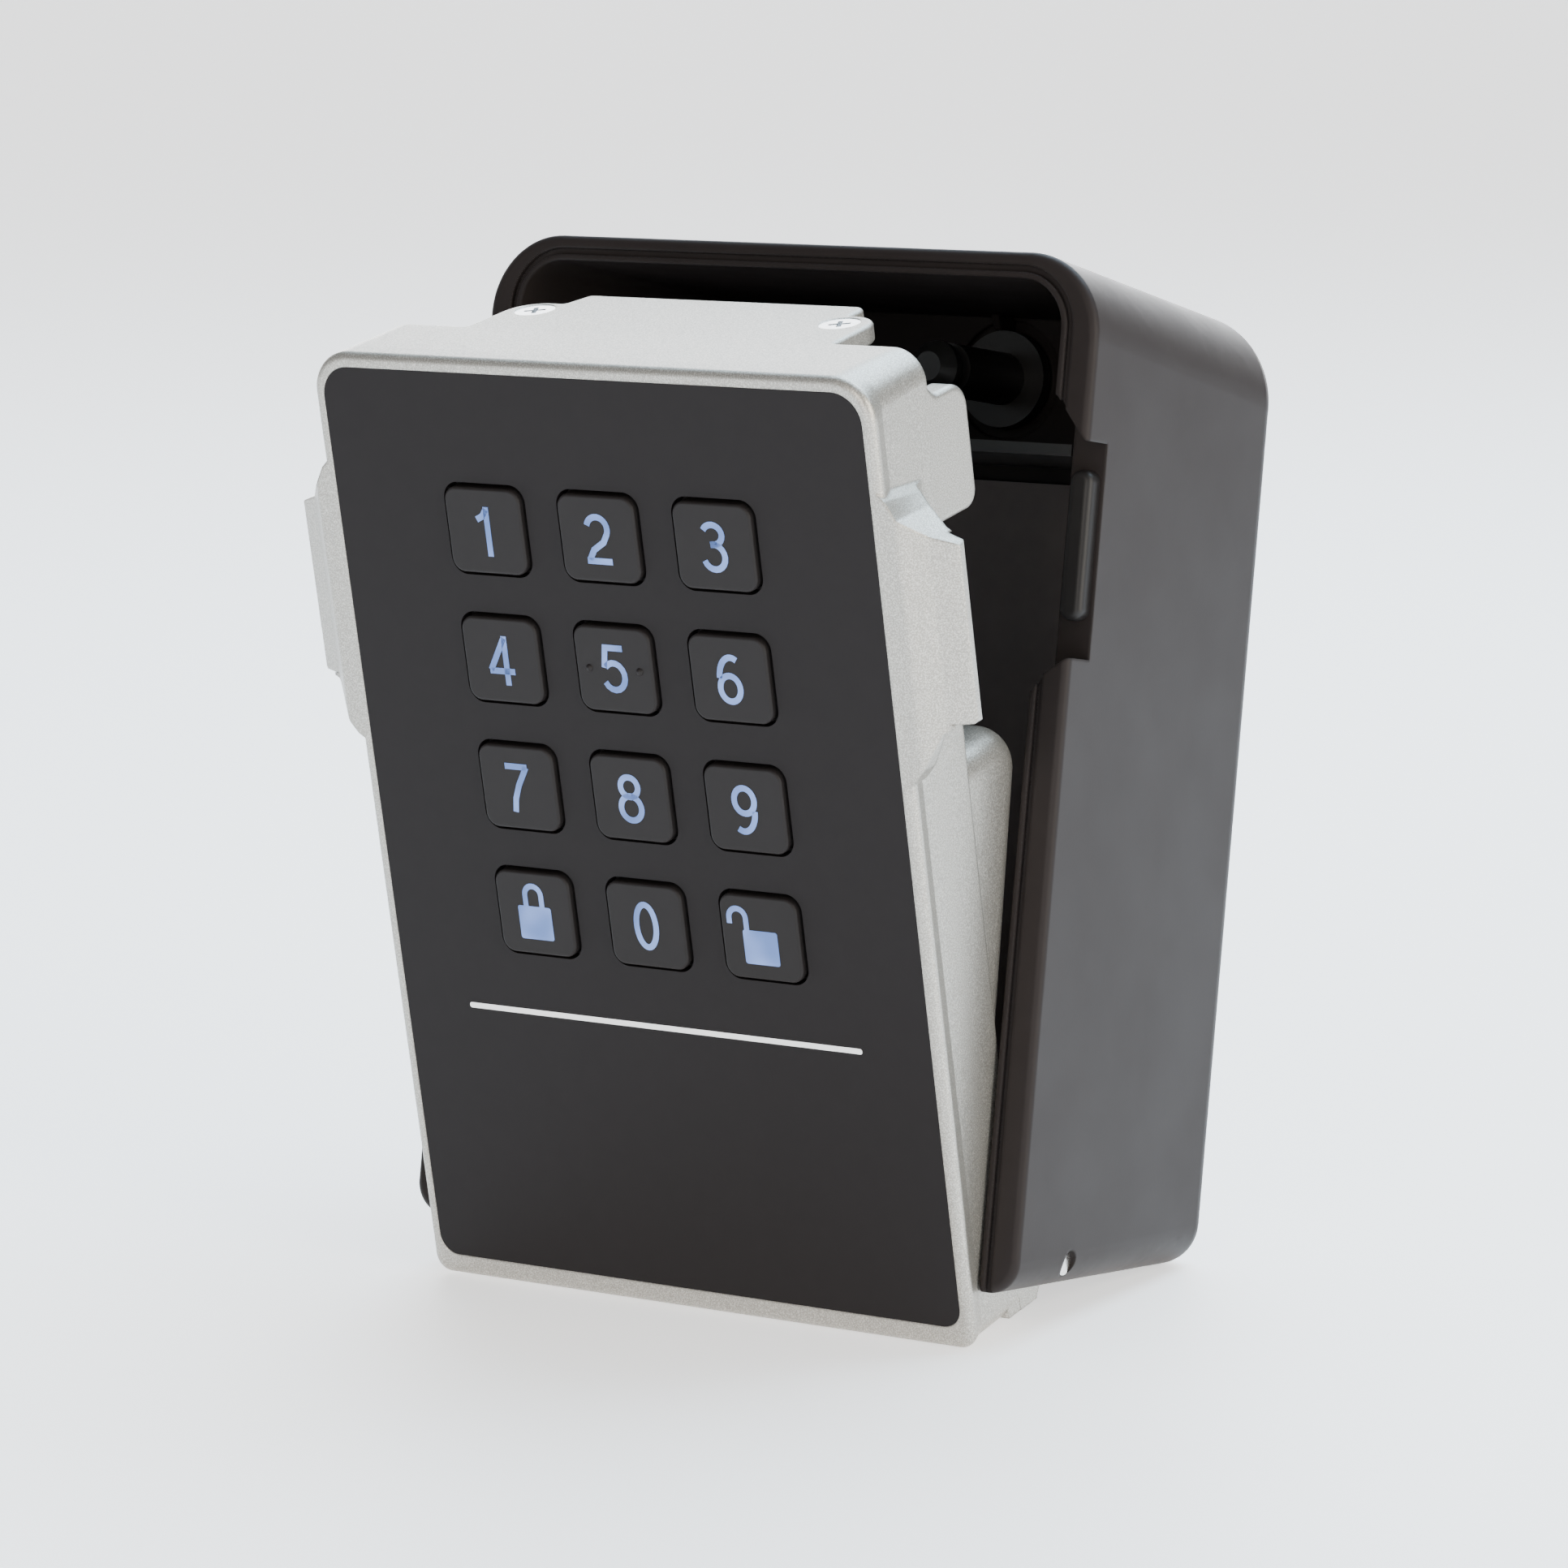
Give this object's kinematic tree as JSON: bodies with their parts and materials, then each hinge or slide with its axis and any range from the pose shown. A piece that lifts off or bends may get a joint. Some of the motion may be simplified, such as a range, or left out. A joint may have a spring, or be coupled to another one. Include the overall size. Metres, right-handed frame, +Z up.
{
  "type": "key lock box",
  "caption": "Wall-mounted key safe: black cast case, silver keypad door hinged along its lower edge, motor-driven latch fork inside.",
  "frame": {"origin": "on the wall face of the case, at the centre of its four wall-screw holes", "axes": "+X to the right seen from the front, +Y into the wall, +Z up"},
  "size_m": [0.0908, 0.0898, 0.1266],
  "materials": {
    "black_coat": "satin black powder coat",
    "black_steel": "satin black",
    "pin_steel": "ground steel",
    "black_rubber": "satin rubber",
    "black_plastic": "moulded plastic",
    "liner": "dark brown-black sheet",
    "silver_paint": "fine sparkling silver paint",
    "silver_cast": "fine sparkling silver paint",
    "silver_lid": "fine sparkling silver paint",
    "fascia_black": "satin black with a pale printed line",
    "key_black": "satin black with pale blue legends",
    "silicone": "matt silicone",
    "board_green": "solder mask",
    "zinc_screw": "bright zinc",
    "dome_steel": "spring steel",
    "led_white": "clear",
    "chip_black": "moulded",
    "brass_disc": "plain",
    "motor_steel": "drawn can",
    "cell_wrap": "printed sleeve, plain",
    "fork_steel": "stamped steel",
    "pinion_brass": "machined"
  },
  "bodies": {
    "case": {"housing": "black_coat", "strike_post": "black_steel", "hinge_pin": "pin_steel", "grip_pad_left": "black_rubber", "grip_pad_right": "black_rubber", "shelf": "black_plastic", "back_liner": "liner"},
    "door": {"door_frame": "silver_paint", "fascia": "fascia_black", "keypad_mat": "silicone", "circuit_board": "board_green", "board_screws": "zinc_screw", "contact_domes": "dome_steel", "key_leds": "led_white", "board_chips": "chip_black", "piezo_sounder": "brass_disc", "mechanism_case": "silver_cast", "gear_motor": "motor_steel", "motor_saddle": "black_plastic", "top_screws": "zinc_screw", "battery_box": "silver_paint", "battery_lid": "silver_lid", "battery_cells": "cell_wrap", "battery_contacts": "dome_steel"},
    "key_1_cap": {"key_1": "key_black"},
    "key_2_cap": {"key_2": "key_black"},
    "key_3_cap": {"key_3": "key_black"},
    "key_4_cap": {"key_4": "key_black"},
    "key_5_cap": {"key_5": "key_black"},
    "key_6_cap": {"key_6": "key_black"},
    "key_7_cap": {"key_7": "key_black"},
    "key_8_cap": {"key_8": "key_black"},
    "key_9_cap": {"key_9": "key_black"},
    "key_lock_cap": {"key_lock": "key_black"},
    "key_0_cap": {"key_0": "key_black"},
    "key_unlock_cap": {"key_unlock": "key_black"},
    "fork": {"latch_fork": "fork_steel"},
    "pinion": {"drive_pinion": "pinion_brass"}
  },
  "joints": [
    {"name": "door_hinge", "type": "hinge", "parent": "case", "child": "door", "pos_m": [0, -0.0355, -0.0499], "axis": [1, 0, 0], "range_deg": [-20.53, 69.5]},
    {"name": "key_1_press", "type": "slide", "parent": "door", "child": "key_1_cap", "axis": [0, 0.9365, 0.3507], "range_m": [0, 0.0007], "stiffness_N_per_m": 1500},
    {"name": "key_2_press", "type": "slide", "parent": "door", "child": "key_2_cap", "axis": [0, 0.9365, 0.3507], "range_m": [0, 0.0007], "stiffness_N_per_m": 1500},
    {"name": "key_3_press", "type": "slide", "parent": "door", "child": "key_3_cap", "axis": [0, 0.9365, 0.3507], "range_m": [0, 0.0007], "stiffness_N_per_m": 1500},
    {"name": "key_4_press", "type": "slide", "parent": "door", "child": "key_4_cap", "axis": [0, 0.9365, 0.3507], "range_m": [0, 0.0007], "stiffness_N_per_m": 1500},
    {"name": "key_5_press", "type": "slide", "parent": "door", "child": "key_5_cap", "axis": [0, 0.9365, 0.3507], "range_m": [0, 0.0007], "stiffness_N_per_m": 1500},
    {"name": "key_6_press", "type": "slide", "parent": "door", "child": "key_6_cap", "axis": [0, 0.9365, 0.3507], "range_m": [0, 0.0007], "stiffness_N_per_m": 1500},
    {"name": "key_7_press", "type": "slide", "parent": "door", "child": "key_7_cap", "axis": [0, 0.9365, 0.3507], "range_m": [0, 0.0007], "stiffness_N_per_m": 1500},
    {"name": "key_8_press", "type": "slide", "parent": "door", "child": "key_8_cap", "axis": [0, 0.9365, 0.3507], "range_m": [0, 0.0007], "stiffness_N_per_m": 1500},
    {"name": "key_9_press", "type": "slide", "parent": "door", "child": "key_9_cap", "axis": [0, 0.9365, 0.3507], "range_m": [0, 0.0007], "stiffness_N_per_m": 1500},
    {"name": "key_lock_press", "type": "slide", "parent": "door", "child": "key_lock_cap", "axis": [0, 0.9365, 0.3507], "range_m": [0, 0.0007], "stiffness_N_per_m": 1500},
    {"name": "key_0_press", "type": "slide", "parent": "door", "child": "key_0_cap", "axis": [0, 0.9365, 0.3507], "range_m": [0, 0.0007], "stiffness_N_per_m": 1500},
    {"name": "key_unlock_press", "type": "slide", "parent": "door", "child": "key_unlock_cap", "axis": [0, 0.9365, 0.3507], "range_m": [0, 0.0007], "stiffness_N_per_m": 1500},
    {"name": "fork_slide", "type": "slide", "parent": "door", "child": "fork", "axis": [1, 0, 0], "range_m": [0, 0.0075]},
    {"name": "pinion_spin", "type": "hinge", "parent": "door", "child": "pinion", "pos_m": [-0.006, -0.06355, 0.04843], "axis": [0, 0.9365, 0.3507], "range_deg": [0, 215]}
  ],
  "couplings": [
    {"joint": "pinion_spin", "follows": "fork_slide", "rad_per_m": 500}
  ]
}
